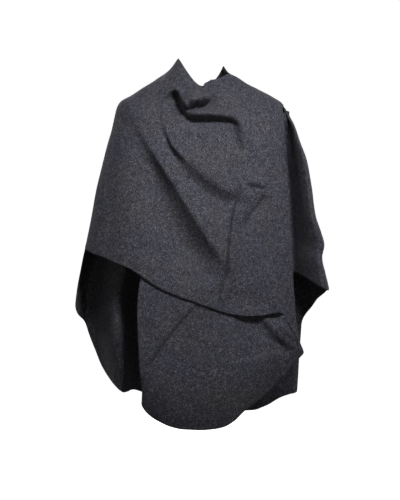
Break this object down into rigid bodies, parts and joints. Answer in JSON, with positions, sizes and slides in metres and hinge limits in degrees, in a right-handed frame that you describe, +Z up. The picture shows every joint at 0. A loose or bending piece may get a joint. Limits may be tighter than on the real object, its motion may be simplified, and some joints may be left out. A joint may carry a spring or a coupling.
{
  "type": "wool wrap poncho",
  "caption": "Worn felted wool wrap poncho, open at the neck and hem, with the right front drawn across the chest to the left shoulder over a long rounded left front.",
  "frame": {"origin": "middle of the base of the neck opening, level with the shoulders, where the wearer's shoulders hold the garment", "axes": "+Z up, -Y out of the front, +X to the wearer's left"},
  "size_m": [0.6793, 0.4094, 0.9767],
  "materials": {
    "wool_right_front": "charcoal melange felted wool, brushed",
    "wool_left_front": "charcoal melange felted wool, brushed",
    "wool_left_arm_drape": "charcoal melange felted wool, brushed",
    "wool_back": "charcoal melange felted wool, brushed"
  },
  "bodies": {
    "root": {"right_front": "wool_right_front", "left_front": "wool_left_front", "left_arm_drape": "wool_left_arm_drape", "back": "wool_back"}
  },
  "joints": []
}
